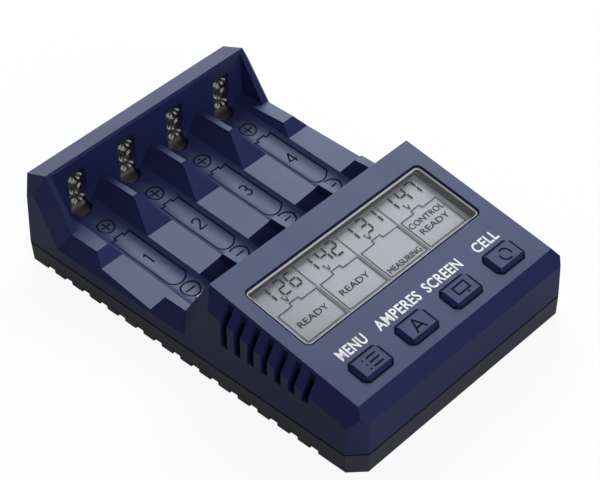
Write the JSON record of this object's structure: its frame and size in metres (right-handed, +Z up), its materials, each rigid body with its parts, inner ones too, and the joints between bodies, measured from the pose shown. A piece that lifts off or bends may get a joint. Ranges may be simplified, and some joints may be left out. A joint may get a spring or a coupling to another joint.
{
  "type": "battery charger",
  "caption": "Desktop charger for AA and AAA cells with open bays, a tilted display block with a liquid crystal screen, push buttons and side vents",
  "frame": {"origin": "middle of the footprint on the surface that the feet stand on", "axes": "+X from the first bay to the fourth, +Y from the display block to the contact head, +Z up"},
  "size_m": [0.075, 0.113, 0.0282],
  "materials": {
    "top_shell": "fine grained navy moulding",
    "bottom_shell": "fine grained charcoal moulding",
    "display_lens": "clear moulded window",
    "lcd_frame": "black moulding",
    "lcd_panel": "grey reflective panel",
    "contact_strip": "pink silicone strip",
    "button": "navy keycap",
    "plunger": "black switch plunger",
    "switch": "steel switch cover",
    "board": "green solder mask",
    "contact": "nickel plated spring strip",
    "inlet": "black moulding",
    "component": "black component bodies",
    "ferrite": "sintered grey blocks",
    "can": "sleeved aluminium cans",
    "screw": "zinc plated screws",
    "feet": "black rubber discs"
  },
  "bodies": {
    "charger": {"top_shell": "top_shell", "bottom_shell": "bottom_shell", "display_lens": "display_lens", "lcd_frame": "lcd_frame", "lcd_panel": "lcd_panel", "contact_strip": "contact_strip", "tact_switches": "switch", "display_board": "board", "main_board": "board", "leaf_anchors": "contact", "dc_inlet": "inlet", "dc_pin": "contact", "inductors": "ferrite", "capacitors": "can", "transistors": "component", "controller_chip": "component", "board_header": "component", "case_screws": "screw", "board_screws": "screw", "rubber_feet": "feet", "positive_contact_1": "contact", "positive_contact_2": "contact", "positive_contact_3": "contact", "positive_contact_4": "contact"},
    "button_1_body": {"button_1": "button", "plunger_1": "plunger"},
    "button_2_body": {"button_2": "button", "plunger_2": "plunger"},
    "button_3_body": {"button_3": "button", "plunger_3": "plunger"},
    "button_4_body": {"button_4": "button", "plunger_4": "plunger"},
    "negative_leaf_1": {"negative_contact_1": "contact"},
    "negative_leaf_2": {"negative_contact_2": "contact"},
    "negative_leaf_3": {"negative_contact_3": "contact"},
    "negative_leaf_4": {"negative_contact_4": "contact"}
  },
  "joints": [
    {"name": "button_1_press", "type": "slide", "parent": "charger", "child": "button_1_body", "axis": [0, 0.1774, -0.9841], "range_m": [0, 0.0005], "stiffness_N_per_m": 2000},
    {"name": "button_2_press", "type": "slide", "parent": "charger", "child": "button_2_body", "axis": [0, 0.1774, -0.9841], "range_m": [0, 0.0005], "stiffness_N_per_m": 2000},
    {"name": "button_3_press", "type": "slide", "parent": "charger", "child": "button_3_body", "axis": [0, 0.1774, -0.9841], "range_m": [0, 0.0005], "stiffness_N_per_m": 2000},
    {"name": "button_4_press", "type": "slide", "parent": "charger", "child": "button_4_body", "axis": [0, 0.1774, -0.9841], "range_m": [0, 0.0005], "stiffness_N_per_m": 2000},
    {"name": "leaf_1_bend", "type": "hinge", "parent": "charger", "child": "negative_leaf_1", "pos_m": [-0.0249, -0.006, 0.0069], "axis": [1, 0, 0], "range_deg": [0, 46], "stiffness_Nm_per_rad": 0.045},
    {"name": "leaf_2_bend", "type": "hinge", "parent": "charger", "child": "negative_leaf_2", "pos_m": [-0.0083, -0.006, 0.0069], "axis": [1, 0, 0], "range_deg": [0, 46], "stiffness_Nm_per_rad": 0.045},
    {"name": "leaf_3_bend", "type": "hinge", "parent": "charger", "child": "negative_leaf_3", "pos_m": [0.0083, -0.006, 0.0069], "axis": [1, 0, 0], "range_deg": [0, 46], "stiffness_Nm_per_rad": 0.045},
    {"name": "leaf_4_bend", "type": "hinge", "parent": "charger", "child": "negative_leaf_4", "pos_m": [0.0249, -0.006, 0.0069], "axis": [1, 0, 0], "range_deg": [0, 46], "stiffness_Nm_per_rad": 0.045}
  ]
}
